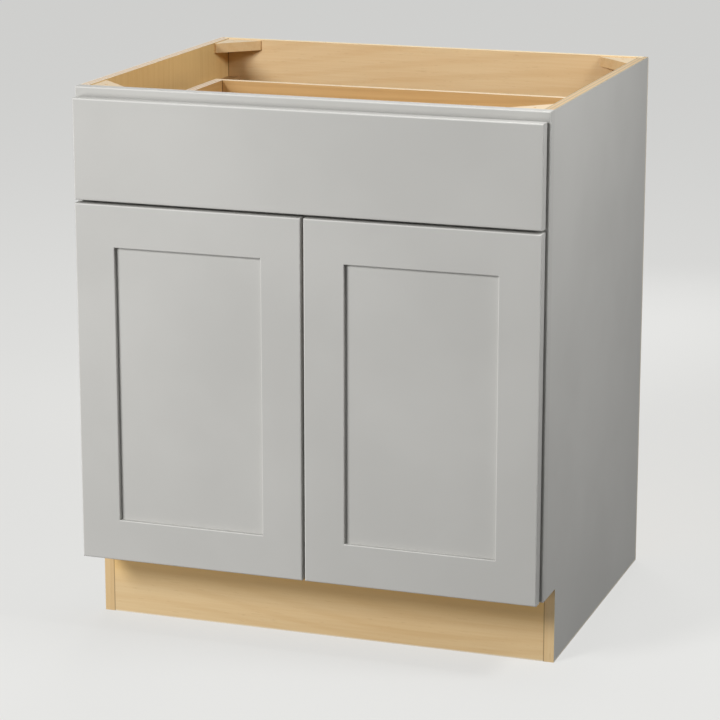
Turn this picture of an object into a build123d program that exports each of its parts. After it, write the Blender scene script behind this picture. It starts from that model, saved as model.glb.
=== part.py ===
from build123d import *
from math import sqrt
import os

# A framed kitchen base cabinet with one drawer above two doors, in millimetres.
# X runs from left to right, Y from front to rear and Z up.
# The origin is on the floor, in the middle of the plan.
# Pairs of pieces are drawn on the right-hand side and mirrored to the left.

# Carcass
cabinet_width = 762.0
cabinet_height = 876.3
cabinet_depth = 609.6  # from the face frame's front to the back panel's rear
side_thickness = 15.9
back_thickness = 12.7
floor_thickness = 15.9
toe_height = 121.0  # from the ground to the face frame's underside
toe_depth = 70.0  # from the face frame's front to the toe board
toe_board_thickness = 12.7
floor_dado_depth = 6.0
back_rabbet_depth = 8.0
panel_joint_play = 0.2

# Face frame
frame_thickness = 19.0
frame_stile_width = 38.1
frame_top_rail_height = 38.1
frame_middle_rail_height = 38.1
frame_bottom_rail_height = 38.1
frame_edge_radius = 2.5

# Corner blocks that a worktop is screwed to
block_leg = 62.0
block_tip = 3.0  # clipped off the sharp ends
block_thickness = 16.0
block_drop = 1.5  # below the top edges of the carcass
block_hole_radius = 2.5
block_hole_inset = 20.0

# Door fronts and drawer front
front_thickness = 19.0
front_gap = 3.0  # between the fronts and the face frame
front_overlay = 33.1  # reach of the fronts over the frame's stiles
top_reveal = 15.0
drawer_front_height = 159.0
front_spacing = 5.0  # between the drawer front and the doors
door_spacing = 4.2  # between the two doors
front_edge_radius = 2.5
door_recess_radius = 1.5
bumper_radius = 5.0
bumper_play = 0.3
bumper_inset = 14.0

# Five-piece doors
door_stile_width = 65.5
door_rail_width = 67.0
door_panel_thickness = 6.0
door_panel_recess = 7.0
door_groove_depth = 10.0
door_groove_play = 0.1  # on each face of a tongue or panel
door_panel_play = 1.0  # at the bottom of the groove

# Concealed hinges
hinge_end_distance = 92.0
hinge_pin_depth = 10.5  # from the door's rear face to the pivot
hinge_pin_radius = 1.25
hinge_pin_play = 0.05
knuckle_wall = 1.1
knuckle_gap = 0.45
arm_thickness = 2.0
arm_width = 10.0
arm_bend_radius = 8.0
arm_mouth_gap = 1.7
cheek_gap = 0.4  # between the arm and the cup's cheeks
cheek_thickness = 1.6
cheek_border = 1.5
arm_plate_depth = 17.0
arm_plate_height = 30.0
arm_plate_setback = 1.0
arm_screw_spacing = 18.0
cup_radius = 17.5
cup_wall = 0.9
cup_depth = 14.2
cup_play = 0.1
cup_flange_thickness = 1.0
cup_flange_border = 1.5
cup_flange_height = 56.0
cup_flange_corner = 6.0
cup_screw_spacing = 45.0
cup_screw_offset = 9.5

# Screws
screw_radius = 1.75
screw_tip = 4.0
screw_tip_radius = 0.3
screw_head_radius = 3.4
screw_head_height = 1.2
screw_head_rounding = 0.7
screw_slot_length = 3.8
screw_slot_width = 0.9
screw_slot_depth = 0.6
screw_play = 0.1
slide_screw_length = 11.0
hinge_screw_length = 12.0
front_screw_length = 27.0

# Drawer box
drawer_box_height = 101.6
drawer_box_overhang = 2.0  # of the drawer box behind its slides
drawer_board_thickness = 15.9
drawer_back_thickness = 12.0
drawer_rise = 6.5  # above the frame's middle rail
drawer_bottom_thickness = 6.0
drawer_bottom_rise = 10.0
drawer_groove_depth = 6.0
drawer_groove_play = 0.1
tail_count = 4
tail_width = 15.0
tail_slope = 1 / 6
front_screw_spacing_x = 360.0
front_screw_spacing_z = 50.0

# Ball-bearing drawer slides
slide_space = 12.7  # between the drawer box and the frame opening
slide_length = 450.0
slide_height = 45.0
slide_steel = 1.2
slide_bend_radius = 2.0  # outside the rolled corners
slide_setback = 2.0  # behind the face frame's front
slide_rise = 50.0  # of its middle above the drawer box's underside
slide_web_gap = 0.6
slide_lip_gap = 2.0
slide_screw_front_inset = 40.0  # of the first screw from the slide's front end
slide_screw_middle_inset = 210.0
slide_screw_rear_inset = 50.0  # of the last screw from the slide's rear end
slide_cleat_height = 70.0
ball_radius = 1.5
ball_play = 0.3
balls_in_a_row = 9
cage_length = slide_length / 2
cage_setback = slide_length / 4
cage_width = 5.0
cage_thickness = 0.8
cage_hole_play = 0.15

# Shelf
shelf_thickness = 15.9
shelf_rise = 262.0  # of its underside above the floor panel
shelf_setback = 30.0  # behind the face frame
shelf_side_play = 1.5
shelf_rear_play = 2.0
shelf_edge_radius = 1.5
shelf_pin_radius = 2.5
shelf_pin_play = 0.05
shelf_pin_length = 8.0
shelf_pin_hole_depth = 9.0
shelf_pin_drop = 5.0
shelf_pin_pitch = 32.0
shelf_pin_holes = 7
shelf_pin_inset = 55.0
shelf_bracket_reach = 10.0
shelf_bracket_width = 12.0
shelf_bracket_thickness = 1.8
shelf_bracket_height = 9.0

# Places along X, measured from the middle
outer_x = cabinet_width / 2
inner_x = outer_x - side_thickness
opening_x = outer_x - frame_stile_width
front_x = opening_x + front_overlay
drawer_x = opening_x - slide_space
door_meeting_x = door_spacing / 2

# Places along Y
frame_front = (front_gap + front_thickness - cabinet_depth) / 2
frame_rear = frame_front + frame_thickness
toe_face = frame_front + toe_depth
carcass_rear = frame_front + cabinet_depth
back_face = carcass_rear - back_thickness
front_rear = frame_front - front_gap
front_face = front_rear - front_thickness
slide_front = frame_front + slide_setback
slide_rear = slide_front + slide_length
drawer_rear = slide_rear + drawer_box_overhang
panel_face = front_face + door_panel_recess
panel_rear = panel_face + door_panel_thickness

# Places along Z
floor_top = toe_height + frame_bottom_rail_height
floor_underside = floor_top - floor_thickness
drawer_front_top = cabinet_height - top_reveal
drawer_front_bottom = drawer_front_top - drawer_front_height
door_top = drawer_front_bottom - front_spacing
middle_rail_middle = (drawer_front_bottom + door_top) / 2
middle_rail_top = middle_rail_middle + frame_middle_rail_height / 2
middle_rail_bottom = middle_rail_middle - frame_middle_rail_height / 2
opening_top = cabinet_height - frame_top_rail_height
drawer_bottom = middle_rail_top + drawer_rise
drawer_top = drawer_bottom + drawer_box_height
slide_z = drawer_bottom + slide_rise
block_top = cabinet_height - block_drop
shelf_bottom = floor_top + shelf_rise
hinge_heights = (toe_height + hinge_end_distance, door_top - hinge_end_distance)

on_base = (Align.CENTER, Align.CENTER, Align.MIN)


def block(low, high):
    """A board from its lowest corner to its highest."""
    size = [b - a for a, b in zip(low, high)]
    middle = [(a + b) / 2 for a, b in zip(low, high)]
    return Pos(*middle) * Box(*size)


def eased_board(low, high, radius):
    """A board with rounded edges round its front face."""
    board = block(low, high)
    return fillet(board.faces().sort_by(Axis.Y)[0].edges(), radius)


def rod(start, direction, radius, length):
    """A round rod from a point along a direction."""
    return Plane(start, z_dir=direction) * Cylinder(radius, length, align=on_base)


def screw(seat, direction, length):
    """A pan-head screw: its head stands on the seat and its point runs along the direction."""
    head = Pos(0, 0, -screw_head_height) * Cylinder(screw_head_radius, screw_head_height, align=on_base)
    head = fillet(head.edges().sort_by(Axis.Z)[0], screw_head_rounding)
    slot = Pos(0, 0, -screw_head_height) * Box(screw_slot_length, screw_slot_width, 2 * screw_slot_depth)
    head = head - slot - Rot(0, 0, 90) * slot
    shank = Cylinder(screw_radius, length - screw_tip, align=on_base)
    tip = Cone(screw_radius, screw_tip_radius, screw_tip, align=on_base)
    return Plane(seat, z_dir=direction) * (head + shank + Pos(0, 0, length - screw_tip) * tip)


def screw_hole(seat, direction, length):
    """The hole that a screw of this length sits in."""
    return rod(seat, direction, screw_radius + screw_play, length + screw_play)


def mirrored(pieces):
    """Left-hand copies of right-hand pieces."""
    return [mirror(piece, about=Plane.YZ) for piece in pieces]


def save(name, *pieces):
    """Writes one named piece, or a group of equal pieces, to its own file."""
    solids = [solid for piece in pieces for solid in piece.solids()]
    shape = solids[0] if len(solids) == 1 else Compound(solids)
    export_step(shape, f"parts/{name}.step")


def save_pair(name, *pieces):
    """Writes a right-hand piece and its left-hand copy."""
    save(f"right_{name}", *pieces)
    save(f"left_{name}", *mirrored(pieces))


os.makedirs("parts", exist_ok=True)

# Shelf, on four bracketed pins in rows of holes down the side panels
shelf_front = frame_rear + shelf_setback
shelf_rear = back_face - shelf_rear_play
shelf_x = inner_x - shelf_side_play
shelf_pin_y = (shelf_front + shelf_pin_inset, shelf_rear - shelf_pin_inset)
shelf_pin_z = shelf_bottom - shelf_pin_drop


def shelf_pin(y):
    half = shelf_bracket_width / 2
    seat = block((inner_x - shelf_bracket_reach, y - half, shelf_bottom - shelf_bracket_thickness),
                 (inner_x, y + half, shelf_bottom))
    leg = block((inner_x - shelf_bracket_thickness, y - half, shelf_bottom - shelf_bracket_height),
                (inner_x, y + half, shelf_bottom))
    peg = rod((inner_x, y, shelf_pin_z), (1, 0, 0), shelf_pin_radius, shelf_pin_length)
    return seat + leg + peg


def shelf_pin_hole(y, z):
    return rod((inner_x, y, z), (1, 0, 0), shelf_pin_radius + shelf_pin_play, shelf_pin_hole_depth)


shelf_pins = [shelf_pin(y) for y in shelf_pin_y]
save("shelf", eased_board((-shelf_x, shelf_front, shelf_bottom),
                          (shelf_x, shelf_rear, shelf_bottom + shelf_thickness), shelf_edge_radius))
save("shelf_pins", *shelf_pins, *mirrored(shelf_pins))

# Carcass panels
side_panel = block((inner_x, frame_rear, 0), (outer_x, carcass_rear, cabinet_height))
side_panel -= block((inner_x, frame_rear, 0), (outer_x, toe_face, toe_height))
side_panel -= block((inner_x, frame_rear, floor_underside),
                    (inner_x + floor_dado_depth, back_face, floor_top))
side_panel -= block((inner_x, back_face, 0), (inner_x + back_rabbet_depth, carcass_rear, cabinet_height))
for row_y in shelf_pin_y:
    for step in range(shelf_pin_holes):
        side_panel -= shelf_pin_hole(row_y, shelf_pin_z + (step - shelf_pin_holes // 2) * shelf_pin_pitch)
save_pair("side_panel", side_panel)

floor_x = inner_x + floor_dado_depth - panel_joint_play
save("floor_panel", block((-floor_x, frame_rear, floor_underside), (floor_x, back_face, floor_top)))

back_x = inner_x + back_rabbet_depth - panel_joint_play
save("back_panel", block((-back_x, back_face, 0), (back_x, carcass_rear, cabinet_height)))

toe_rear = toe_face + toe_board_thickness
save("toe_kick_board", block((-inner_x, toe_face, 0), (inner_x, toe_rear, floor_underside)))

# Corner blocks, each with a screw hole up into the worktop


def corner_block(corner_y, inward):
    """A triangular block in the corner at corner_y; inward is the way along Y into the cabinet."""
    outline = Polyline((inner_x, corner_y), (inner_x - block_leg, corner_y),
                       (inner_x - block_leg, corner_y + inward * block_tip),
                       (inner_x - block_tip, corner_y + inward * block_leg),
                       (inner_x, corner_y + inward * block_leg), close=True)
    wedge = extrude(make_face(outline), block_thickness, dir=(0, 0, 1))
    hole_start = (inner_x - block_hole_inset, corner_y + inward * block_hole_inset, 0)
    wedge -= rod(hole_start, (0, 0, 1), block_hole_radius, block_thickness)
    return Pos(0, 0, block_top - block_thickness) * wedge


save_pair("front_corner_block", corner_block(frame_rear, 1))
save_pair("rear_corner_block", corner_block(back_face, -1))

# Hinge places for the right-hand door, worked out from the frame opening's edge
pin_hole_radius = hinge_pin_radius + hinge_pin_play
knuckle_radius = pin_hole_radius + knuckle_wall
cup_inner_radius = cup_radius - cup_wall
cup_chord = sqrt(cup_inner_radius**2 - (arm_width / 2) ** 2)
arm_face_x = opening_x - arm_thickness
cup_x = arm_face_x - arm_mouth_gap + cup_chord
pivot_x = cup_x + cup_chord - knuckle_gap - knuckle_radius
pivot_y = front_rear - hinge_pin_depth
cheek_inner_z = arm_width / 2 + cheek_gap
pin_reach = cheek_inner_z + cheek_thickness
plate_front = frame_front + arm_plate_setback
plate_rear = plate_front + arm_plate_depth
flange_rear = front_rear + cup_flange_thickness
arm_screw_seats = [(arm_face_x, (plate_front + plate_rear) / 2, z + side * arm_screw_spacing / 2)
                   for z in hinge_heights for side in (-1, 1)]
cup_screw_seats = [(cup_x - cup_screw_offset, flange_rear, z + side * cup_screw_spacing / 2)
                   for z in hinge_heights for side in (-1, 1)]


def hinge_arm(z):
    """A strip that is screwed to the frame's inner edge and curls round the pivot inside the cup."""
    strip_y = pivot_y - knuckle_radius + arm_thickness / 2
    strip_x = opening_x - arm_thickness / 2
    line = FilletPolyline((pivot_x, strip_y), (strip_x, strip_y), (strip_x, plate_rear),
                          radius=arm_bend_radius)
    strip = extrude(trace(line, arm_thickness), arm_width / 2, dir=(0, 0, 1), both=True)
    knuckle = rod((pivot_x, pivot_y, -arm_width / 2), (0, 0, 1), knuckle_radius, arm_width)
    plate = block((arm_face_x, plate_front, -arm_plate_height / 2),
                  (opening_x, plate_rear, arm_plate_height / 2))
    bore = rod((pivot_x, pivot_y, -arm_width), (0, 0, 1), pin_hole_radius, 2 * arm_width)
    return Pos(0, 0, z) * (strip + knuckle + plate - bore)


def hinge_cup(z):
    """A round cup let into the door, with a screwed flange and two cheeks that hold the pin."""
    body = rod((cup_x, front_rear, z), (0, -1, 0), cup_radius, cup_depth)
    half_width = cup_radius + cup_flange_border
    flange = block((cup_x - half_width, front_rear, z - cup_flange_height / 2),
                   (cup_x + half_width, flange_rear, z + cup_flange_height / 2))
    flange = fillet(flange.edges().filter_by(Axis.Y), cup_flange_corner)
    hollow_depth = cup_flange_thickness + cup_depth - cup_wall
    cup = body + flange - rod((cup_x, flange_rear, z), (0, -1, 0), cup_inner_radius, hollow_depth)
    reach = hinge_pin_radius + cheek_border
    for low_z in (z - pin_reach, z + cheek_inner_z):
        cup += body & block((pivot_x - reach, front_rear - cup_depth, low_z),
                            (cup_x + cup_radius, pivot_y + reach, low_z + cheek_thickness))
    return cup - rod((pivot_x, pivot_y, z - pin_reach), (0, 0, 1), pin_hole_radius, 2 * pin_reach)


def hinge_pin(z):
    return rod((pivot_x, pivot_y, z - pin_reach), (0, 0, 1), hinge_pin_radius, 2 * pin_reach)


def arm_screw_hole(seat):
    return screw_hole(seat, (1, 0, 0), hinge_screw_length)


def cup_screw_hole(seat):
    return screw_hole(seat, (0, -1, 0), hinge_screw_length)


hinge_arms = [hinge_arm(z) for z in hinge_heights]
hinge_cups = [hinge_cup(z) for z in hinge_heights]
for seat in arm_screw_seats:
    hinge_arms = [arm - arm_screw_hole(seat) for arm in hinge_arms]
for seat in cup_screw_seats:
    hinge_cups = [cup - cup_screw_hole(seat) for cup in hinge_cups]
arm_screws = [screw(seat, (1, 0, 0), hinge_screw_length) for seat in arm_screw_seats]
save_pair("hinge_arms", *hinge_arms)
save_pair("hinge_cups", *hinge_cups)
save_pair("hinge_pins", *[hinge_pin(z) for z in hinge_heights])
save_pair("cup_screws", *[screw(seat, (0, -1, 0), hinge_screw_length) for seat in cup_screw_seats])
save("hinge_arm_screws", *arm_screws, *mirrored(arm_screws))

# Face frame, cut from one eased outline so that its members line up
frame = eased_board((-outer_x, frame_front, toe_height), (outer_x, frame_rear, cabinet_height),
                    frame_edge_radius)


def frame_rail(bottom, top):
    return frame & block((-opening_x, frame_front, bottom), (opening_x, frame_rear, top))


frame_stile = frame & block((opening_x, frame_front, toe_height), (outer_x, frame_rear, cabinet_height))
for seat in arm_screw_seats:
    frame_stile -= arm_screw_hole(seat)
save_pair("frame_stile", frame_stile)
save("frame_top_rail", frame_rail(opening_top, cabinet_height))
save("frame_middle_rail", frame_rail(middle_rail_bottom, middle_rail_top))
save("frame_bottom_rail", frame_rail(toe_height, floor_top))

# Doors: two stiles, two rails with tongues in the stiles' grooves, and a loose panel
door_left = door_meeting_x + door_stile_width
door_right = front_x - door_stile_width
panel_bottom = toe_height + door_rail_width
panel_top = door_top - door_rail_width
door = eased_board((door_meeting_x, front_face, toe_height), (front_x, front_rear, door_top),
                   front_edge_radius)
door -= block((door_left, front_face, panel_bottom), (door_right, front_rear, panel_top))
door = fillet(door.faces().sort_by(Axis.Y)[0].inner_wires()[0].edges(), door_recess_radius)
groove_front = panel_face - door_groove_play
groove_rear = panel_rear + door_groove_play
tongue = door_groove_depth - door_panel_play


def door_stile(low_x, high_x, groove_x):
    stile = door & block((low_x, front_face, toe_height), (high_x, front_rear, door_top))
    return stile - block((groove_x, groove_front, toe_height),
                         (groove_x + door_groove_depth, groove_rear, door_top))


def door_rail(low_z, high_z, groove_z):
    rail = door & block((door_left, front_face, low_z), (door_right, front_rear, high_z))
    rail += block((door_left - tongue, panel_face, low_z), (door_right + tongue, panel_rear, high_z))
    return rail - block((door_left - tongue, groove_front, groove_z),
                        (door_right + tongue, groove_rear, groove_z + door_groove_depth))


def bumper(x, z):
    """A soft button on a front's rear face that meets the frame."""
    button = rod((x, front_rear, z), (0, 1, 0), bumper_radius, front_gap - bumper_play)
    return fillet(button.edges().sort_by(Axis.Y)[-1], (front_gap - bumper_play) / 2)


door_hinge_stile = door_stile(door_right, front_x, door_right)
for z in hinge_heights:
    door_hinge_stile -= rod((cup_x, front_rear, z), (0, -1, 0), cup_radius + cup_play, cup_depth + cup_play)
for seat in cup_screw_seats:
    door_hinge_stile -= cup_screw_hole(seat)
save_pair("door_hinge_stile", door_hinge_stile)
save_pair("door_meeting_stile", door_stile(door_meeting_x, door_left, door_left - door_groove_depth))
save_pair("door_top_rail", door_rail(panel_top, door_top, panel_top))
save_pair("door_bottom_rail", door_rail(toe_height, panel_bottom, panel_bottom - door_groove_depth))
save_pair("door_panel", block((door_left - tongue, panel_face, panel_bottom - tongue),
                              (door_right + tongue, panel_rear, panel_top + tongue)))
bumper_x = door_meeting_x + bumper_inset
save_pair("door_bumpers", bumper(bumper_x, toe_height + bumper_inset),
          bumper(bumper_x, (middle_rail_bottom + door_top) / 2))

# Drawer slides: each member is a channel, placed by its distance from the frame opening's edge
cabinet_half = slide_height / 2
outer_ball_z = cabinet_half - slide_steel - ball_play - ball_radius
middle_half = outer_ball_z - ball_radius - ball_play
inner_ball_z = middle_half - slide_steel - ball_play - ball_radius
drawer_half = inner_ball_z - ball_radius - ball_play
middle_web = slide_steel + screw_head_height + slide_web_gap
cabinet_lip = slide_space - slide_lip_gap
drawer_lip = middle_web + slide_steel + slide_lip_gap / 2
outer_ball_x = opening_x - (middle_web + cabinet_lip) / 2
inner_ball_x = opening_x - (drawer_lip + cabinet_lip) / 2
cage_front = slide_front + cage_setback
slide_screw_y = [slide_front + slide_screw_front_inset,
                 slide_front + slide_screw_middle_inset,
                 slide_rear - slide_screw_rear_inset]
cabinet_screw_seats = [(opening_x - slide_steel, y, slide_z) for y in slide_screw_y]
drawer_screw_seats = [(drawer_x + slide_steel, y, slide_z) for y in slide_screw_y]


def cabinet_screw_hole(seat):
    return screw_hole(seat, (1, 0, 0), slide_screw_length)


def drawer_screw_hole(seat):
    return screw_hole(seat, (-1, 0, 0), slide_screw_length)


def channel(near, far, hollow_near, hollow_far, half_height):
    """A rolled steel channel from its near to its far side, hollow between the other two values."""
    web_end = -1 if hollow_near > near else 0
    whole = block((opening_x - far, slide_front, slide_z - half_height),
                  (opening_x - near, slide_rear, slide_z + half_height))
    inside = half_height - slide_steel
    hollow = block((opening_x - hollow_far, slide_front, slide_z - inside),
                   (opening_x - hollow_near, slide_rear, slide_z + inside))
    whole = fillet(whole.faces().sort_by(Axis.X)[web_end].edges().filter_by(Axis.Y), slide_bend_radius)
    hollow = fillet(hollow.faces().sort_by(Axis.X)[web_end].edges().filter_by(Axis.Y),
                    slide_bend_radius - slide_steel)
    return whole - hollow


def ball_cage(ball_x, ball_z):
    """Two pierced strips with a row of balls in each, above and below the slide's middle."""
    pitch = cage_length / balls_in_a_row
    hole_radius = ball_radius + cage_hole_play
    pieces = []
    for z in (slide_z - ball_z, slide_z + ball_z):
        strip = block((ball_x - cage_width / 2, cage_front, z - cage_thickness / 2),
                      (ball_x + cage_width / 2, cage_front + cage_length, z + cage_thickness / 2))
        for step in range(balls_in_a_row):
            y = cage_front + (step + 0.5) * pitch
            strip -= rod((ball_x, y, z - cage_thickness / 2), (0, 0, 1), hole_radius, cage_thickness)
            pieces.append(Pos(ball_x, y, z) * Sphere(ball_radius))
        pieces.append(strip)
    return pieces


slide_cleat = block((opening_x, frame_rear, slide_z - slide_cleat_height / 2),
                    (inner_x, back_face, slide_z + slide_cleat_height / 2))
cabinet_member = channel(0, cabinet_lip, slide_steel, cabinet_lip, cabinet_half)
middle_member = channel(middle_web, cabinet_lip, middle_web + slide_steel, cabinet_lip, middle_half)
drawer_member = channel(drawer_lip, slide_space, drawer_lip, slide_space - slide_steel, drawer_half)
for seat in cabinet_screw_seats:
    cabinet_member -= cabinet_screw_hole(seat)
    slide_cleat -= cabinet_screw_hole(seat)
for seat in drawer_screw_seats:
    drawer_member -= drawer_screw_hole(seat)
cabinet_screws = [screw(seat, (1, 0, 0), slide_screw_length) for seat in cabinet_screw_seats]
drawer_screws = [screw(seat, (-1, 0, 0), slide_screw_length) for seat in drawer_screw_seats]
save_pair("slide_cleat", slide_cleat)
save_pair("slide_cabinet_member", cabinet_member)
save_pair("slide_middle_member", middle_member)
save_pair("slide_drawer_member", drawer_member)
save_pair("slide_outer_ball_cage", *ball_cage(outer_ball_x, outer_ball_z))
save_pair("slide_inner_ball_cage", *ball_cage(inner_ball_x, inner_ball_z))
save("cabinet_slide_screws", *cabinet_screws, *mirrored(cabinet_screws))
save("drawer_slide_screws", *drawer_screws, *mirrored(drawer_screws))

# Drawer box, dovetailed at its corners, with a loose bottom in grooves
box_front_inner = front_rear + drawer_board_thickness
box_back_inner = drawer_rear - drawer_back_thickness
drawer_inner_x = drawer_x - drawer_board_thickness


def dovetails(end_y, root_y):
    """The tails at one end of the right-hand side, wider at their ends than at their roots."""
    pitch = drawer_box_height / tail_count
    root_width = tail_width - 2 * tail_slope * abs(end_y - root_y)
    tails = []
    for step in range(tail_count):
        z = drawer_bottom + (step + 0.5) * pitch
        outline = Polyline((end_y, z - tail_width / 2), (end_y, z + tail_width / 2),
                           (root_y, z + root_width / 2), (root_y, z - root_width / 2), close=True)
        profile = Plane((drawer_inner_x, 0, 0), x_dir=(0, 1, 0), z_dir=(1, 0, 0)) * make_face(outline)
        tails.append(extrude(profile, drawer_board_thickness, dir=(1, 0, 0)))
    return tails


def box_end(end_y, root_y, tails):
    board = block((-drawer_x, min(end_y, root_y), drawer_bottom), (drawer_x, max(end_y, root_y), drawer_top))
    for tail in tails + mirrored(tails):
        board -= tail
    return board


bottom_x = drawer_inner_x + drawer_groove_depth
bottom_front = box_front_inner - drawer_groove_depth
bottom_rear = box_back_inner + drawer_groove_depth
bottom_low = drawer_bottom + drawer_bottom_rise
bottom_high = bottom_low + drawer_bottom_thickness
bottom_groove = block((-bottom_x, bottom_front, bottom_low - drawer_groove_play),
                      (bottom_x, bottom_rear, bottom_high + drawer_groove_play))
front_tails = dovetails(front_rear, box_front_inner)
back_tails = dovetails(drawer_rear, box_back_inner)
drawer_side = block((drawer_inner_x, box_front_inner, drawer_bottom), (drawer_x, box_back_inner, drawer_top))
for tail in front_tails + back_tails:
    drawer_side += tail
drawer_side -= bottom_groove
for seat in drawer_screw_seats:
    drawer_side -= drawer_screw_hole(seat)
box_front = box_end(front_rear, box_front_inner, front_tails) - bottom_groove
box_back = box_end(drawer_rear, box_back_inner, back_tails) - bottom_groove
save_pair("drawer_side", drawer_side)
save("drawer_box_back", box_back)
save("drawer_bottom", block((-bottom_x + panel_joint_play, bottom_front + panel_joint_play, bottom_low),
                            (bottom_x - panel_joint_play, bottom_rear - panel_joint_play, bottom_high)))

# Drawer front, screwed on from inside the box
box_middle = (drawer_bottom + drawer_top) / 2
front_screw_x = front_screw_spacing_x / 2
front_screw_rise = front_screw_spacing_z / 2
front_screw_seats = [(x, box_front_inner, box_middle + rise)
                     for x in (-front_screw_x, front_screw_x)
                     for rise in (-front_screw_rise, front_screw_rise)]
drawer_front = eased_board((-front_x, front_face, drawer_front_bottom),
                           (front_x, front_rear, drawer_front_top), front_edge_radius)
for seat in front_screw_seats:
    hole = screw_hole(seat, (0, -1, 0), front_screw_length)
    drawer_front -= hole
    box_front -= hole
save("drawer_front", drawer_front)
save("drawer_box_front", box_front)
save("drawer_front_screws", *[screw(seat, (0, -1, 0), front_screw_length) for seat in front_screw_seats])
stile_middle_x = (opening_x + front_x) / 2
drawer_bumpers = [bumper(stile_middle_x, drawer_front_bottom + bumper_inset),
                  bumper(stile_middle_x, drawer_front_top - bumper_inset)]
save("drawer_bumpers", *drawer_bumpers, *mirrored(drawer_bumpers))
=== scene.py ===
import math

import bpy
from mathutils import Matrix, Vector


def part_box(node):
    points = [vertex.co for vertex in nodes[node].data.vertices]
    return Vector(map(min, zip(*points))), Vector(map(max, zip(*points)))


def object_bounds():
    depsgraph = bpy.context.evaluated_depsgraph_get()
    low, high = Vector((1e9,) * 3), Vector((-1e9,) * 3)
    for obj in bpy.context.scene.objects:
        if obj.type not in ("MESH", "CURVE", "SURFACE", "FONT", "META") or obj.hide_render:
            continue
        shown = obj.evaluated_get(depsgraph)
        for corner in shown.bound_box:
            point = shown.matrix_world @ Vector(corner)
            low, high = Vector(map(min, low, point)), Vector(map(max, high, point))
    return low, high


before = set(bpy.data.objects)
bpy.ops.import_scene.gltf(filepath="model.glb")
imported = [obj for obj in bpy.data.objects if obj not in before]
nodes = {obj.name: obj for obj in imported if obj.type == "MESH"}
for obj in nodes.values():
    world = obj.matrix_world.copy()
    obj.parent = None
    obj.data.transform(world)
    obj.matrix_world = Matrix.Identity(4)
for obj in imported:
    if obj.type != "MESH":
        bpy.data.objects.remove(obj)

# Finishes, light and camera for a painted kitchen base cabinet with a drawer above two doors, in metres.
# X runs from left to right, Y from front to rear and Z up, with the floor at zero.

cad_low, cad_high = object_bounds()


def tint(red, green, blue):
    """A colour given as it looks, from 0 to 255, as the shader counts it, by the sRGB curve."""
    levels = [level / 255 for level in (red, green, blue)]
    return tuple(v / 12.92 if v <= 0.04045 else ((v + 0.055) / 1.055) ** 2.4 for v in levels) + (1.0,)


# Colours

PAINT = tint(197, 196, 192)
PAINT_DEEP = tint(191, 190, 186)
# painted shade: the face frame's paint is the fronts' paint made a few levels darker, for the shade behind
# the fronts
FRAME_PAINT_SHADED = tint(192, 191, 187)
FRAME_PAINT_SHADED_DEEP = tint(186, 185, 181)
# painted highlight: the paler colour of the eased edges of the paint
PAINT_EASED_HIGHLIGHT = tint(215, 214, 210)
# painted highlight: a pale line along the foot of the toe board and the rear and bottom edges of the
# painted sides
PALE_EDGE_HIGHLIGHT = tint(240, 230, 210)

VENEER_PALE = tint(231, 203, 158)
VENEER_WARM = tint(218, 182, 131)
HONEY_PALE = tint(234, 202, 142)
HONEY_WARM = tint(218, 180, 117)
DRAWER_PALE = tint(207, 172, 119)
DRAWER_WARM = tint(187, 150, 97)
MAPLE_PALE = tint(230, 201, 153)
MAPLE_WARM = tint(216, 181, 129)
MAPLE_FLECK = tint(186, 145, 97)
# painted light: a warmer, paler tone that lifts the shaded upper part of the toe board
TOE_PAINTED_BOUNCE = tint(247, 204, 130)
# painted shade: the slide cleats are darkened for the shade of the corners where they sit
CLEAT_SHADED_PALE = tint(184, 150, 104)
CLEAT_SHADED_WARM = tint(164, 128, 86)
BLOCK_PALE = tint(236, 205, 155)
BLOCK_WARM = tint(223, 185, 130)
# painted light: a paler, greyer cream for the upper faces of the corner blocks
BLOCK_TOP_LIT = tint(214, 194, 162)
# dark joint lines: dust and glue, and painted shade in the inner corners
JOINT_DUST_AND_SHADE = tint(112, 78, 40)

PLY_LEFT = tint(231, 219, 201)
PLY_RIGHT = tint(181, 166, 136)
PLY_DRAWER = tint(240, 222, 192)
PLY_BACK = tint(250, 230, 190)
PLY_CROSS = tint(214, 178, 134)
GLUE_LINE = tint(174, 136, 96)

ZINC = tint(188, 190, 193)
ZINC_DEEP = tint(164, 168, 172)
NICKEL = tint(212, 208, 200)
NICKEL_DEEP = tint(188, 184, 176)
STEEL = tint(222, 223, 224)
STEEL_DEEP = tint(190, 192, 195)
BUMPER_CLEAR = tint(226, 226, 220)
BUMPER_DEEP = tint(208, 208, 200)

FLOOR_SEEN = tint(232, 232, 230)
FLOOR_BOUNCE = tint(112, 112, 112)
WHITE = (1.0, 1.0, 1.0, 1.0)

# Ranges in which a mask rises from 0 to 1

NOISE_RANGE = (0.3, 0.7)  # where most of a noise lies
FACE_RANGE = (0.4, 0.6)  # how squarely a face looks one way, for faces at right angles
END_RANGE = (0.6, 0.8)  # the same, where the blocks' sloping faces count as half


class Wire:
    """One output of a node. Sums written with wires add Math nodes to the same recipe."""

    def __init__(self, recipe, socket):
        self.recipe = recipe
        self.socket = socket

    def __add__(self, other):
        return self.recipe.sum("ADD", self, other)

    def __sub__(self, other):
        return self.recipe.sum("SUBTRACT", self, other)

    def __rsub__(self, other):
        return self.recipe.sum("SUBTRACT", other, self)

    def __mul__(self, other):
        return self.recipe.sum("MULTIPLY", self, other)

    def __truediv__(self, other):
        return self.recipe.sum("DIVIDE", self, other)

    def __rtruediv__(self, other):
        return self.recipe.sum("DIVIDE", other, self)

    def __abs__(self):
        return self.recipe.sum("ABSOLUTE", self)

    __radd__ = __add__
    __rmul__ = __mul__


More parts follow.
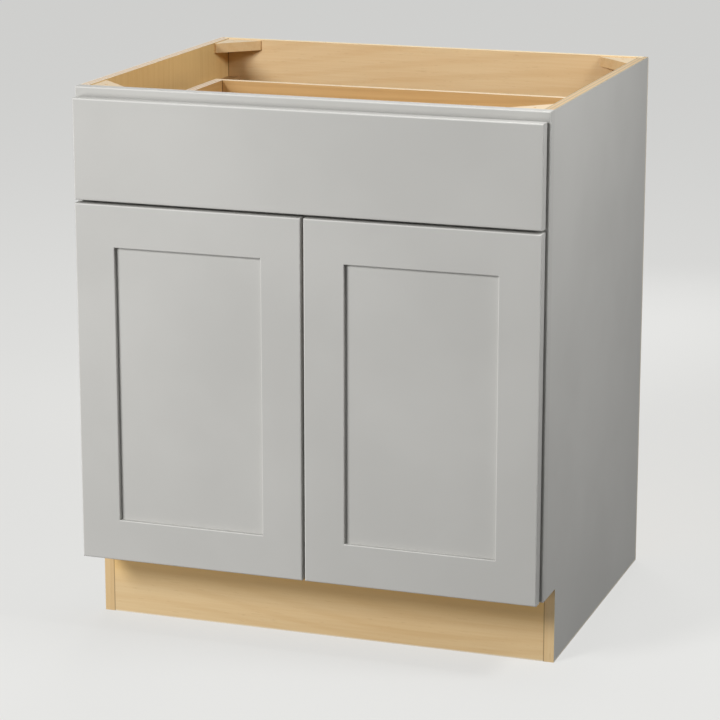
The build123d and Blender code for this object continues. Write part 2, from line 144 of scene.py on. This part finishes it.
class Recipe:
    """The nodes of a material or of the world."""

    def __init__(self, owner):
        owner.use_nodes = True
        self.tree = owner.node_tree
        self.tree.nodes.clear()

    def node(self, kind, settings=None, sockets=None, output=0):
        """Any node: its type, its settings, then the values or wires of its sockets."""
        made = self.tree.nodes.new(kind)
        for name, value in (settings or {}).items():
            setattr(made, name, value)
        for name, value in (sockets or {}).items():
            if isinstance(value, Wire):
                self.tree.links.new(value.socket, made.inputs[name])
            else:
                made.inputs[name].default_value = value
        return Wire(self, made.outputs[output])

    def sum(self, operation, *terms):
        return self.node("ShaderNodeMath", {"operation": operation}, dict(enumerate(terms)))

    def blend(self, share, first, second):
        """A colour that goes from the first to the second as share goes from 0 to 1."""
        sockets = {0: share, 6: first, 7: second}
        return self.node("ShaderNodeMix", {"data_type": "RGBA"}, sockets, output=2)

    def mix(self, share, first, second):
        """The same with two surfaces or two backgrounds."""
        return self.node("ShaderNodeMixShader", None, {0: share, 1: first, 2: second})

    def seen(self):
        """1 for what the camera sees, straight, in gloss or through clear stuff, or else 0."""
        straight, in_gloss, through = [self.node("ShaderNodeLightPath", output=f"Is {kind} Ray")
                                       for kind in ("Camera", "Glossy", "Transmission")]
        return self.sum("MAXIMUM", self.sum("MAXIMUM", straight, in_gloss), through)

    def show(self, surface, end="ShaderNodeOutputMaterial"):
        output = self.tree.nodes.new(end)
        self.tree.links.new(surface.socket, output.inputs["Surface"])


class Finish(Recipe):
    """A material of this cabinet, worked out from places and directions on its own piece."""

    def __init__(self, name):
        self.material = bpy.data.materials.new(name)
        super().__init__(self.material)
        self.place = self.by_axis("Object")
        self.facing = self.by_axis("Normal")

    def by_axis(self, coordinates):
        vector = self.node("ShaderNodeTexCoord", output=coordinates)
        split = self.node("ShaderNodeSeparateXYZ", None, {0: vector}).socket.node
        return {axis: Wire(self, split.outputs[axis.upper()]) for axis in "xyz"}

    def by_grain(self, grain):
        """The places along the grain and in the two directions across it."""
        across = [place for axis, place in self.place.items() if axis != grain]
        return [self.place[grain], *across]

    def noise(self, places, waves, detail=2.0, roughness=0.5):
        """Noise from 0 to 1 over three places, with its own number of waves a metre along each."""
        scaled = [place * count for place, count in zip(places, waves)]
        vector = self.node("ShaderNodeCombineXYZ", None, dict(enumerate(scaled)))
        return self.node("ShaderNodeTexNoise", None,
                         {"Vector": vector, "Scale": 1.0, "Detail": detail, "Roughness": roughness})

    def even_noise(self, waves, detail=2.0):
        """Noise that is as fine in every direction."""
        return self.noise(self.place.values(), (waves, waves, waves), detail)

    def step(self, value, low, high):
        """0 below low, 1 above high and a smooth rise between them."""
        return self.node("ShaderNodeMapRange", {"interpolation_type": "SMOOTHSTEP"},
                         {"Value": value, "From Min": low, "From Max": high})

    def near(self, distance, width, core=0.4):
        """1 within a share, core, of this width from where distance is 0, and 0 outside the width."""
        return 1 - self.step(distance, width * core, width)

    def close(self, colour, roughness, height, depth, **constants):
        """Ends the finish with its surface. height, from 0 to 1, is a relief of this depth in metres.
        constants are other sockets of the surface, with _ for the spaces in their names."""
        relief = self.node("ShaderNodeBump", None, {"Distance": depth, "Height": height})
        sockets = {"Base Color": colour, "Roughness": roughness, "Normal": relief}
        sockets.update({name.replace("_", " "): value for name, value in constants.items()})
        self.show(self.node("ShaderNodeBsdfPrincipled", None, sockets))
        return self.material


def between(share, first, second):
    """A number that goes from the first to the second as share goes from 0 to 1."""
    return first + share * (second - first)


def wear(material, *names):
    """Puts a material on these pieces of the cabinet."""
    for name in names:
        nodes[name].data.materials.clear()
        nodes[name].data.materials.append(material)


# Sprayed paint

PAINT_CLOUD_WAVES = 4.0
PEEL_WAVES = 420.0
PEEL_DEPTH = 0.00003
PAINT_ROUGHNESS = 0.40
CLOUD_DULLING = 0.08
PEEL_DULLING = 0.05
PAINT_SHEEN = 0.35
EASED_HIGHLIGHT_RANGE = (0.02, 0.14)
EASED_HIGHLIGHT_SHARE = 0.8


def sprayed_paint(finish, full=PAINT, deep=PAINT_DEEP):
    """Colour, roughness and relief of a sprayed satin coat: a faint cloud, a fine orange peel, and a
    painted highlight, a paler colour on the eased edges, which look along none of the axes."""
    cloud = finish.even_noise(PAINT_CLOUD_WAVES, detail=3.0)
    peel = finish.even_noise(PEEL_WAVES, detail=1.0)
    colour = finish.blend(finish.step(cloud, *NOISE_RANGE), full, deep)
    sideways, endways, upright = [abs(way) for way in finish.facing.values()]
    square = finish.sum("MAXIMUM", finish.sum("MAXIMUM", sideways, endways), upright)
    # painted highlight on the eased edges
    eased_highlight = finish.step(1 - square, *EASED_HIGHLIGHT_RANGE)
    colour = finish.blend(eased_highlight * EASED_HIGHLIGHT_SHARE, colour, PAINT_EASED_HIGHLIGHT)
    roughness = PAINT_ROUGHNESS + cloud * CLOUD_DULLING + peel * PEEL_DULLING
    return colour, roughness, peel


def painted(name):
    """Sprayed paint on every face."""
    finish = Finish(name)
    colour, roughness, peel = sprayed_paint(finish)
    return finish.close(colour, roughness, peel, PEEL_DEPTH, Specular_IOR_Level=PAINT_SHEEN)


# Maple, as solid boards and as veneer

DRIFT_WAVES = (0.9, 4.0, 4.0)  # along the grain and in the two directions across it, as in the next three
FIBRE_WAVES = (7.0, 300.0, 300.0)
CLOUD_WAVES = (2.0, 9.0, 9.0)
FLECK_WAVES = (60.0, 520.0, 520.0)
RING_SPACING = 0.026
RING_BEND = 0.28
RING_RANGE = (0.45, 1.0)
FLECK_RANGE = (0.66, 0.76)
FIGURE = 0.24
FIBRE_SHARE = 0.27
CLOUD_SHARE = 0.43
FLECK_SHARE = 0.20
FIBRE_DEPTH = 0.00004
MAPLE_ROUGHNESS = 0.42
SAWN_ROUGHNESS = 0.50
FIBRE_DULLING = 0.12

# painted light in the shade at the top of the toe board rises between these
PAINTED_BOUNCE_RANGE = (0.04, 0.10)  # heights above the floor
PAINTED_BOUNCE_SHARE = 0.9
FOOT_HIGHLIGHT_WIDTH = 0.0026
FOOT_HIGHLIGHT_SHARE = 0.7
TOP_SHARE = 0.75
END_SHARE = 0.35
END_DULLING = 0.2
JOINT_WIDTH = 0.0020
JOINT_SHARE = 0.7


def maple(finish, grain, pale, warm, seed, figure=FIGURE):
    """Colour and relief of maple: slow clouds, thin rings that bend into arches, fine fibres along the
    board and short brown flecks. figure is how clearly the rings show, and seed is where they start."""
    places = finish.by_grain(grain)
    drift = finish.noise(places, DRIFT_WAVES, detail=1.0)
    bent = places[1] + places[2] + (drift - 0.5) * RING_BEND + seed
    wave = finish.sum("SINE", bent * (2 * math.pi / RING_SPACING)) * 0.5 + 0.5
    rings = finish.step(wave, *RING_RANGE)
    fibres = finish.noise(places, FIBRE_WAVES, detail=3.0, roughness=0.6)
    cloud = finish.noise(places, CLOUD_WAVES)
    flecks = finish.step(finish.noise(places, FLECK_WAVES, detail=1.0), *FLECK_RANGE)
    tone = rings * figure + finish.step(fibres, *NOISE_RANGE) * FIBRE_SHARE
    tone = tone + finish.step(cloud, *NOISE_RANGE) * CLOUD_SHARE
    colour = finish.blend(tone, pale, warm)
    colour = finish.blend(flecks * FLECK_SHARE, colour, MAPLE_FLECK)
    return colour, fibres


def joint_line(finish, joint, colour):
    """Two dark lines where boards meet this one: dust and glue, and painted shade in the inner corner
    that they make. joint is how far from the middle they meet it, and the face that they meet: -1 for
    the front one and 1 for the rear one."""
    place, face = joint
    line = finish.near(abs(abs(finish.place["x"]) - place), JOINT_WIDTH)
    met = finish.step(finish.facing["y"] * face, *FACE_RANGE)
    return finish.blend(line * met * JOINT_SHARE, colour, JOINT_DUST_AND_SHADE)


def maple_board(name, grain, pale, warm, seed, roughness=MAPLE_ROUGHNESS, joint=None, top=None,
                standing=False):
    """Solid maple with its grain along one axis. joint is as joint_line takes it, and top is a paler
    colour painted on the upper faces, as painted light from above. A board standing on the floor has a
    painted highlight, a pale line along its foot, and painted warm light higher up, where it is in shade."""
    finish = Finish(name)
    colour, fibres = maple(finish, grain, pale, warm, seed)
    if standing:
        height = finish.place["z"]
        # painted light: warms and lifts the shaded top of the board
        colour = finish.blend(finish.step(height, *PAINTED_BOUNCE_RANGE) * PAINTED_BOUNCE_SHARE, colour, TOE_PAINTED_BOUNCE)
        # painted highlight: a pale line along the foot
        colour = finish.blend(finish.near(height, FOOT_HIGHLIGHT_WIDTH) * FOOT_HIGHLIGHT_SHARE, colour, PALE_EDGE_HIGHLIGHT)
    if top:
        # painted light: the upper faces take the paler top colour
        upper = finish.step(finish.facing["z"], *END_RANGE)
        colour = finish.blend(upper * TOP_SHARE, colour, top)
    if joint:
        colour = joint_line(finish, joint, colour)
    end = finish.step(abs(finish.facing[grain]), *END_RANGE)
    colour = finish.blend(end * END_SHARE, colour, MAPLE_FLECK)
    roughness = roughness + fibres * FIBRE_DULLING + end * END_DULLING
    return finish.close(colour, roughness, fibres, FIBRE_DEPTH)


def frame_board(name, grain):
    """A board of the face frame: painted in front and on its edges, bare maple behind. Its paint is a
    few levels darker than the fronts' paint, as painted shade.
    """
    finish = Finish(name)
    paint, paint_roughness, peel = sprayed_paint(finish, FRAME_PAINT_SHADED, FRAME_PAINT_SHADED_DEEP)
    wood, fibres = maple(finish, grain, MAPLE_PALE, MAPLE_WARM, seed=0.21)
    bare = finish.step(finish.facing["y"], *FACE_RANGE)
    colour = finish.blend(bare, paint, wood)
    roughness = between(bare, paint_roughness, MAPLE_ROUGHNESS + fibres * FIBRE_DULLING)
    height = between(bare, peel, fibres)
    return finish.close(colour, roughness, height, PEEL_DEPTH, Specular_IOR_Level=PAINT_SHEEN)


# Plywood

FUZZ_WAVES = 380.0
FUZZ_SHARE = 0.4
GLUE_RANGE = (0.44, 0.49)
GLUE_SHARE = 0.67
CLEAR_PLIES = 0.75
FAINT_PLIES = 0.3
FAINT_FIGURE = 0.14
VENEER_ROUGHNESS = 0.44
VENEER_DULLING = 0.10
EDGE_DULLING = 0.22
RIM_HIGHLIGHT_WIDTH = 0.0036
RIM_HIGHLIGHT_CORE = 0.5
RIM_HIGHLIGHT_SHARE = 0.9
REAR_HIGHLIGHT_STRETCH = 0.5  # the painted highlight along the rear edge is twice as wide as along the foot


def layers(finish, depth, plies, pale, contrast):
    """Colour and relief of a cut plywood edge: plies that lie crosswise in turn, with thin glue lines
    between them. depth goes from 0 to 1 through the board."""
    count = depth * plies
    crosswise = finish.sum("MODULO", finish.sum("FLOOR", count), 2.0)
    fuzz = finish.even_noise(FUZZ_WAVES)
    colour = finish.blend(crosswise * contrast + (fuzz - 0.5) * FUZZ_SHARE, pale, PLY_CROSS)
    glue = finish.step(abs(finish.sum("FRACT", count) - 0.5), *GLUE_RANGE)
    return finish.blend(glue * contrast * GLUE_SHARE, colour, GLUE_LINE), fuzz


def plywood(node, thickness, grain, pale, warm, edge, plies, seed, coat_side=0, joint=None,
            contrast=CLEAR_PLIES, figure=FIGURE):
    """Dresses a piece in veneered plywood. thickness and grain are axes, and edge is the colour of the
    plies on a cut edge, where contrast is how clearly they show. coat_side is the way along its thickness
    of a painted face, or 0 for none. A painted board's upright edges are taped with paler maple. joint is
    as joint_line takes it, and figure as maple takes it."""
    finish = Finish(f"{node}_ply")
    axis = "xyz".index(thickness)
    low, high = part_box(node)
    depth = (finish.place[thickness] - low[axis]) / (high[axis] - low[axis])
    through = finish.facing[thickness]
    if coat_side:
        taped = finish.step(abs(finish.facing["y"]), *FACE_RANGE)
        pale = finish.blend(taped, pale, MAPLE_PALE)
        warm = finish.blend(taped, warm, MAPLE_WARM)
        edges = finish.step(abs(finish.facing["z"]), *FACE_RANGE)
    else:
        edges = 1 - finish.step(abs(through), *FACE_RANGE)
    colour, fibres = maple(finish, grain, pale, warm, seed, figure)
    if joint:
        colour = joint_line(finish, joint, colour)
    edge_colour, fuzz = layers(finish, depth, plies, edge, contrast)
    colour = finish.blend(edges, colour, edge_colour)
    roughness = VENEER_ROUGHNESS + fibres * VENEER_DULLING + edges * EDGE_DULLING
    height = between(edges, fibres, fuzz)
    if coat_side:
        paint, paint_roughness, peel = sprayed_paint(finish)
        # painted highlight: a pale line along the rear and bottom edges of the painted face
        rim = finish.sum("MINIMUM", (cad_high.y - finish.place["y"]) * REAR_HIGHLIGHT_STRETCH, finish.place["z"])
        paint = finish.blend(finish.near(rim, RIM_HIGHLIGHT_WIDTH, RIM_HIGHLIGHT_CORE) * RIM_HIGHLIGHT_SHARE, paint, PALE_EDGE_HIGHLIGHT)
        coat = finish.step(through * coat_side, *FACE_RANGE)
        colour = finish.blend(coat, colour, paint)
        roughness = between(coat, roughness, paint_roughness)
        height = between(coat, height, peel)
    wear(finish.close(colour, roughness, height, FIBRE_DEPTH, Specular_IOR_Level=PAINT_SHEEN), node)


# Metal and bumpers

ROLLING_WAVES = (14.0, 1500.0, 1500.0)
MARK_WAVES = 45.0
MARK_RANGE = (0.35, 0.7)
METAL_DULLING = 0.10
ROLLING_DEPTH = 0.00002
SOFT_WAVES = 160.0
SOFT_ROUGHNESS = 0.32
SOFT_DULLING = 0.15
SOFT_DEPTH = 0.00002
SOFT_GLOW = 0.3


def metal(name, bright, deep, along, roughness):
    """Plated steel with fine rolling lines along one axis and faint handling marks."""
    finish = Finish(name)
    lines = finish.noise(finish.by_grain(along), ROLLING_WAVES)
    marks = finish.even_noise(MARK_WAVES, detail=3.0)
    colour = finish.blend(finish.step(marks, *MARK_RANGE), bright, deep)
    roughness = roughness + lines * METAL_DULLING + marks * METAL_DULLING
    return finish.close(colour, roughness, lines, ROLLING_DEPTH, Metallic=1.0)


def soft_button(name):
    """Clear soft plastic that lets a little light in."""
    finish = Finish(name)
    cloud = finish.even_noise(SOFT_WAVES)
    colour = finish.blend(cloud, BUMPER_CLEAR, BUMPER_DEEP)
    roughness = SOFT_ROUGHNESS + cloud * SOFT_DULLING
    return finish.close(colour, roughness, cloud, SOFT_DEPTH, Subsurface_Weight=SOFT_GLOW)


# Dressing the cabinet's pieces

HANDS = ("left", "right")
DOOR_BOARDS = ("hinge_stile", "meeting_stile", "top_rail", "bottom_rail", "panel")

gray_paint = painted("gray_paint")
wear(gray_paint, "drawer_front")
for hand in HANDS:
    wear(gray_paint, *[f"{hand}_door_{board}" for board in DOOR_BOARDS])
wear(frame_board("frame_rail_paint", "x"),
     *[f"frame_{place}_rail" for place in ("top", "middle", "bottom")])
wear(frame_board("frame_stile_paint", "z"),
     *[f"{hand}_frame_stile" for hand in HANDS])

for hand, way, edge in (("left", -1, PLY_LEFT), ("right", 1, PLY_RIGHT)):
    plywood(f"{hand}_side_panel", "x", "z", HONEY_PALE, HONEY_WARM, edge, plies=5, seed=way * 0.4,
            coat_side=way, figure=FAINT_FIGURE)

inner_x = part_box("toe_kick_board")[1].x
drawer_inner_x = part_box("right_drawer_side")[0].x
plywood("back_panel", "y", "x", VENEER_PALE, VENEER_WARM, PLY_BACK, plies=3, seed=0.13,
        joint=(inner_x, -1), contrast=FAINT_PLIES)
plywood("floor_panel", "z", "x", VENEER_PALE, VENEER_WARM, PLY_DRAWER, plies=7, seed=0.31)
plywood("drawer_bottom", "z", "x", DRAWER_PALE, DRAWER_WARM, PLY_DRAWER, plies=3, seed=0.57)
plywood("left_drawer_side", "x", "y", DRAWER_PALE, DRAWER_WARM, PLY_LEFT, plies=5, seed=0.71)
plywood("right_drawer_side", "x", "y", DRAWER_PALE, DRAWER_WARM, PLY_LEFT, plies=5, seed=0.93)
plywood("drawer_box_front", "y", "x", DRAWER_PALE, DRAWER_WARM, PLY_DRAWER, plies=5, seed=1.17,
        joint=(drawer_inner_x, 1))
plywood("drawer_box_back", "y", "x", DRAWER_PALE, DRAWER_WARM, PLY_DRAWER, plies=3, seed=1.37,
        joint=(drawer_inner_x, -1), contrast=FAINT_PLIES)

wear(maple_board("shelf_maple", "x", VENEER_PALE, VENEER_WARM, seed=0.49), "shelf")
wear(maple_board("toe_maple", "x", MAPLE_PALE, MAPLE_WARM, seed=0.83, joint=(inner_x, -1), standing=True),
     "toe_kick_board")
wear(maple_board("block_maple", "x", BLOCK_PALE, BLOCK_WARM, seed=1.09, roughness=SAWN_ROUGHNESS,
                 top=BLOCK_TOP_LIT),
     *[f"{hand}_{end}_corner_block" for hand in HANDS for end in ("front", "rear")])
# painted shade: the cleats' maple is darker than the rest
wear(maple_board("cleat_maple_shaded", "y", CLEAT_SHADED_PALE, CLEAT_SHADED_WARM, seed=1.51, roughness=SAWN_ROUGHNESS),
     *[f"{hand}_slide_cleat" for hand in HANDS])

slide_zinc = metal("slide_zinc", ZINC, ZINC_DEEP, along="y", roughness=0.54)
bearing_steel = metal("bearing_steel", STEEL, STEEL_DEEP, along="y", roughness=0.14)
hinge_nickel = metal("hinge_nickel", NICKEL, NICKEL_DEEP, along="z", roughness=0.32)
screw_zinc = metal("screw_zinc", ZINC, ZINC_DEEP, along="x", roughness=0.28)
bumper = soft_button("bumper")
wear(screw_zinc, "cabinet_slide_screws", "drawer_slide_screws", "drawer_front_screws", "hinge_arm_screws")
wear(hinge_nickel, "shelf_pins")
wear(bumper, "drawer_bumpers")
for hand in HANDS:
    wear(slide_zinc, *[f"{hand}_slide_{member}_member" for member in ("cabinet", "middle", "drawer")])
    wear(bearing_steel, *[f"{hand}_slide_{ring}_ball_cage" for ring in ("outer", "inner")])
    wear(hinge_nickel, *[f"{hand}_hinge_{piece}" for piece in ("arms", "cups", "pins")])
    wear(screw_zinc, f"{hand}_cup_screws")
    wear(bumper, f"{hand}_door_bumpers")

# Floor, light and camera

FLOOR_REACH = 30.0
FLOOR_GLOW = 0.74  # share of the floor's tone that the camera sees whatever the light
SKY_GLOW = 0.775  # as pale as the far end of the floor, so that no horizon shows
AMBIENT = 0.10
FRAME_PIXELS = 720
SENSOR_WIDTH = 36.0  # in millimetres, as Blender counts lenses
FAR_END = 200.0


def make_floor():
    mesh = bpy.data.meshes.new("studio_floor")
    corners = [(-FLOOR_REACH, -FLOOR_REACH, 0), (FLOOR_REACH, -FLOOR_REACH, 0),
               (FLOOR_REACH, FLOOR_REACH, 0), (-FLOOR_REACH, FLOOR_REACH, 0)]
    mesh.from_pydata(corners, [], [(0, 1, 2, 3)])
    floor = bpy.data.objects.new("studio_floor", mesh)
    bpy.context.scene.collection.objects.link(floor)
    material = bpy.data.materials.new("studio_floor")
    recipe = Recipe(material)
    seen = recipe.seen()
    tone = recipe.blend(seen, FLOOR_BOUNCE, FLOOR_SEEN)
    lit = recipe.node("ShaderNodeBsdfDiffuse", None, {"Color": tone})
    glow = recipe.node("ShaderNodeEmission", None, {"Color": FLOOR_SEEN})
    recipe.show(recipe.mix(seen * FLOOR_GLOW, lit, glow))
    mesh.materials.append(material)


def make_world():
    world = bpy.data.worlds.new("studio")
    recipe = Recipe(world)
    light = recipe.node("ShaderNodeBackground", None, {"Color": WHITE, "Strength": AMBIENT})
    pale = recipe.node("ShaderNodeBackground", None, {"Color": FLOOR_SEEN, "Strength": SKY_GLOW})
    recipe.show(recipe.mix(recipe.seen(), light, pale), "ShaderNodeOutputWorld")
    bpy.context.scene.world = world


def make_lamp(name, place, target, size, power, spread=180.0):
    """A round lamp that the camera doesn't see. spread is in degrees."""
    lamp = bpy.data.lights.new(name, "AREA")
    lamp.shape = "DISK"
    lamp.size = size
    lamp.energy = power
    lamp.spread = math.radians(spread)
    holder = bpy.data.objects.new(name, lamp)
    holder.location = place
    holder.visible_camera = False
    holder.rotation_mode = "QUATERNION"
    holder.rotation_quaternion = (Vector(target) - Vector(place)).to_track_quat("-Z", "Y")
    bpy.context.scene.collection.objects.link(holder)


def make_camera(place, yaw, pitch, focal_pixels):
    """A camera turned to the left by yaw and up by pitch, in degrees, from looking straight to the rear."""
    data = bpy.data.cameras.new("camera")
    data.sensor_width = SENSOR_WIDTH
    data.lens = focal_pixels * SENSOR_WIDTH / FRAME_PIXELS
    data.clip_end = FAR_END
    camera = bpy.data.objects.new("camera", data)
    turn = Matrix.Rotation(math.radians(yaw), 4, "Z")
    tilt = Matrix.Rotation(math.radians(90 + pitch), 4, "X")
    camera.matrix_world = Matrix.Translation(place) @ turn @ tilt
    bpy.context.scene.collection.objects.link(camera)
    bpy.context.scene.camera = camera


make_floor()
make_world()
make_lamp("key", place=(-2.2, -4.2, 2.9), target=(0.0, -0.3, 0.5), size=1.6, power=189.0)
make_lamp("low", place=(-2.2, -2.6, 0.31), target=(0.0, -0.3, 0.3), size=0.6, power=25.5)
make_lamp("fill", place=(1.5, -0.26, 1.9), target=(0.38, -0.25, 0.62), size=0.6, power=9.0, spread=120.0)
make_lamp("overhead", place=(0.2, 0.2, 2.6), target=(0.0, 0.1, 0.8), size=1.5, power=6.2)
make_lamp("rear", place=(-0.9, 2.2, 3.0), target=(0.0, 0.3, 0.5), size=1.5, power=24.0)
make_lamp("back", place=(0.0, 3.2, 0.55), target=(0.0, 0.3, 0.5), size=0.5, power=6.5, spread=70.0)
make_camera(place=(1.42463, -4.14508, 1.51097), yaw=19.168, pitch=-14.208, focal_pixels=2755.9)
bpy.context.scene.view_settings.view_transform = "Standard"
